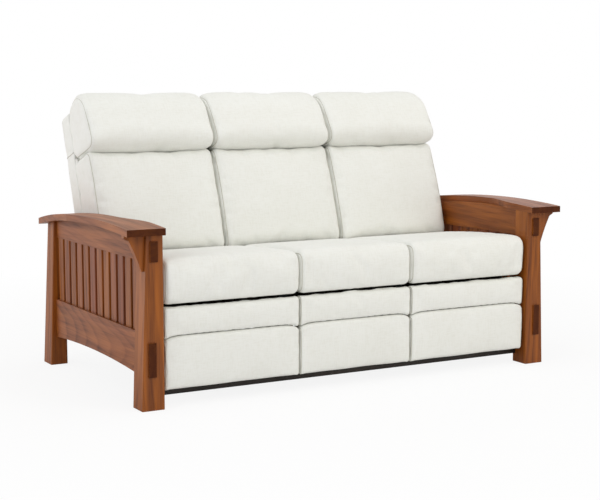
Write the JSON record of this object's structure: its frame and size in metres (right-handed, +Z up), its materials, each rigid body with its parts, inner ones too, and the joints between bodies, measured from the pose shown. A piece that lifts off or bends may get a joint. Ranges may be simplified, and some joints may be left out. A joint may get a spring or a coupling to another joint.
{
  "type": "reclining sofa",
  "caption": "Sofa with slatted hardwood sides, bowed arms and upholstered seats that recline one by one, each with a folding footrest and a headrest.",
  "frame": {"origin": "on the floor, under the middle of the overall box", "axes": "+X to the right as seen from the front, -Y towards the front where the sitter faces, +Z up"},
  "size_m": [1.94, 1.088, 1.1247],
  "materials": {
    "post_wood": "reddish-brown stained hardwood, satin",
    "rail_wood": "reddish-brown stained hardwood, satin",
    "slat_wood": "reddish-brown stained hardwood, tone varying from board to board",
    "arm_wood": "lighter brown stained hardwood, satin",
    "base_wood": "near-black stained hardwood",
    "frame_wood": "bare softwood",
    "panel_board": "bare plywood",
    "upholstery": "warm ivory woven cloth over foam",
    "track_steel": "dark zinc-coated sheet",
    "bolt_steel": "zinc-plated",
    "spring_steel": "bare spring wire",
    "plate_steel": "grey coated sheet",
    "link_steel": "zinc-plated"
  },
  "bodies": {
    "frame": {"left_front_post": "post_wood", "left_rear_post": "post_wood", "left_lower_rail": "rail_wood", "left_upper_rail": "rail_wood", "left_slats": "slat_wood", "left_arm_top": "arm_wood", "left_corbel": "post_wood", "right_front_post": "post_wood", "right_rear_post": "post_wood", "right_lower_rail": "rail_wood", "right_upper_rail": "rail_wood", "right_slats": "slat_wood", "right_arm_top": "arm_wood", "right_corbel": "post_wood", "front_base_rail": "base_wood", "rear_base_rail": "base_wood", "seat_tracks": "track_steel", "rail_bolts": "bolt_steel"},
    "left_seat": {"left_seat_frame": "frame_wood", "left_seat_springs": "spring_steel", "left_seat_cushion": "upholstery", "left_side_plates": "plate_steel"},
    "left_back": {"left_back_frame": "frame_wood", "left_back_cushion": "upholstery", "left_headrest": "upholstery", "left_back_cover": "upholstery"},
    "left_drive": {"left_drive_links": "link_steel"},
    "left_fore": {"left_fore_links": "link_steel"},
    "left_footrest": {"left_footrest_board": "panel_board", "left_footrest_pad": "upholstery"},
    "left_flipper": {"left_flipper_board": "panel_board", "left_flipper_pad": "upholstery"},
    "centre_seat": {"centre_seat_frame": "frame_wood", "centre_seat_springs": "spring_steel", "centre_seat_cushion": "upholstery", "centre_side_plates": "plate_steel"},
    "centre_back": {"centre_back_frame": "frame_wood", "centre_back_cushion": "upholstery", "centre_headrest": "upholstery", "centre_back_cover": "upholstery"},
    "centre_drive": {"centre_drive_links": "link_steel"},
    "centre_fore": {"centre_fore_links": "link_steel"},
    "centre_footrest": {"centre_footrest_board": "panel_board", "centre_footrest_pad": "upholstery"},
    "centre_flipper": {"centre_flipper_board": "panel_board", "centre_flipper_pad": "upholstery"},
    "right_seat": {"right_seat_frame": "frame_wood", "right_seat_springs": "spring_steel", "right_seat_cushion": "upholstery", "right_side_plates": "plate_steel"},
    "right_back": {"right_back_frame": "frame_wood", "right_back_cushion": "upholstery", "right_headrest": "upholstery", "right_back_cover": "upholstery"},
    "right_drive": {"right_drive_links": "link_steel"},
    "right_fore": {"right_fore_links": "link_steel"},
    "right_footrest": {"right_footrest_board": "panel_board", "right_footrest_pad": "upholstery"},
    "right_flipper": {"right_flipper_board": "panel_board", "right_flipper_pad": "upholstery"}
  },
  "joints": [
    {"name": "left_glide", "type": "slide", "parent": "frame", "child": "left_seat", "axis": [0, -1, 0], "range_m": [0, 0.085]},
    {"name": "left_recline", "type": "hinge", "parent": "left_seat", "child": "left_back", "pos_m": [-0.534, 0.148, 0.392], "axis": [-1, 0, 0], "range_deg": [0, 28]},
    {"name": "left_footrest_swing", "type": "hinge", "parent": "left_seat", "child": "left_drive", "pos_m": [-0.534, -0.315, 0.304], "axis": [-1, 0, 0], "range_deg": [0, 123]},
    {"name": "left_elbow", "type": "hinge", "parent": "left_drive", "child": "left_fore", "pos_m": [-0.534, -0.20148, 0.1357], "axis": [-1, 0, 0], "range_deg": [-117.5, 0]},
    {"name": "left_footrest_pivot", "type": "hinge", "parent": "left_fore", "child": "left_footrest", "pos_m": [-0.534, -0.438, 0.2], "axis": [-1, 0, 0], "range_deg": [0, 84.5]},
    {"name": "left_flipper_pivot", "type": "hinge", "parent": "left_fore", "child": "left_flipper", "pos_m": [-0.534, -0.40519, 0.19108], "axis": [-1, 0, 0], "range_deg": [0, 84.5]},
    {"name": "centre_glide", "type": "slide", "parent": "frame", "child": "centre_seat", "axis": [0, -1, 0], "range_m": [0, 0.085]},
    {"name": "centre_recline", "type": "hinge", "parent": "centre_seat", "child": "centre_back", "pos_m": [0, 0.148, 0.392], "axis": [-1, 0, 0], "range_deg": [0, 28]},
    {"name": "centre_footrest_swing", "type": "hinge", "parent": "centre_seat", "child": "centre_drive", "pos_m": [0, -0.315, 0.304], "axis": [-1, 0, 0], "range_deg": [0, 123]},
    {"name": "centre_elbow", "type": "hinge", "parent": "centre_drive", "child": "centre_fore", "pos_m": [0, -0.20148, 0.1357], "axis": [-1, 0, 0], "range_deg": [-117.5, 0]},
    {"name": "centre_footrest_pivot", "type": "hinge", "parent": "centre_fore", "child": "centre_footrest", "pos_m": [0, -0.438, 0.2], "axis": [-1, 0, 0], "range_deg": [0, 84.5]},
    {"name": "centre_flipper_pivot", "type": "hinge", "parent": "centre_fore", "child": "centre_flipper", "pos_m": [0, -0.40519, 0.19108], "axis": [-1, 0, 0], "range_deg": [0, 84.5]},
    {"name": "right_glide", "type": "slide", "parent": "frame", "child": "right_seat", "axis": [0, -1, 0], "range_m": [0, 0.085]},
    {"name": "right_recline", "type": "hinge", "parent": "right_seat", "child": "right_back", "pos_m": [0.534, 0.148, 0.392], "axis": [-1, 0, 0], "range_deg": [0, 28]},
    {"name": "right_footrest_swing", "type": "hinge", "parent": "right_seat", "child": "right_drive", "pos_m": [0.534, -0.315, 0.304], "axis": [-1, 0, 0], "range_deg": [0, 123]},
    {"name": "right_elbow", "type": "hinge", "parent": "right_drive", "child": "right_fore", "pos_m": [0.534, -0.20148, 0.1357], "axis": [-1, 0, 0], "range_deg": [-117.5, 0]},
    {"name": "right_footrest_pivot", "type": "hinge", "parent": "right_fore", "child": "right_footrest", "pos_m": [0.534, -0.438, 0.2], "axis": [-1, 0, 0], "range_deg": [0, 84.5]},
    {"name": "right_flipper_pivot", "type": "hinge", "parent": "right_fore", "child": "right_flipper", "pos_m": [0.534, -0.40519, 0.19108], "axis": [-1, 0, 0], "range_deg": [0, 84.5]}
  ],
  "couplings": [
    {"joint": "left_glide", "follows": "left_recline", "m_per_rad": 0.17392},
    {"joint": "left_elbow", "follows": "left_footrest_swing", "ratio": -0.95122},
    {"joint": "left_footrest_pivot", "follows": "left_footrest_swing", "ratio": 0.68293},
    {"joint": "left_flipper_pivot", "follows": "left_footrest_swing", "ratio": 0.68293},
    {"joint": "centre_glide", "follows": "centre_recline", "m_per_rad": 0.17392},
    {"joint": "centre_elbow", "follows": "centre_footrest_swing", "ratio": -0.95122},
    {"joint": "centre_footrest_pivot", "follows": "centre_footrest_swing", "ratio": 0.68293},
    {"joint": "centre_flipper_pivot", "follows": "centre_footrest_swing", "ratio": 0.68293},
    {"joint": "right_glide", "follows": "right_recline", "m_per_rad": 0.17392},
    {"joint": "right_elbow", "follows": "right_footrest_swing", "ratio": -0.95122},
    {"joint": "right_footrest_pivot", "follows": "right_footrest_swing", "ratio": 0.68293},
    {"joint": "right_flipper_pivot", "follows": "right_footrest_swing", "ratio": 0.68293}
  ]
}
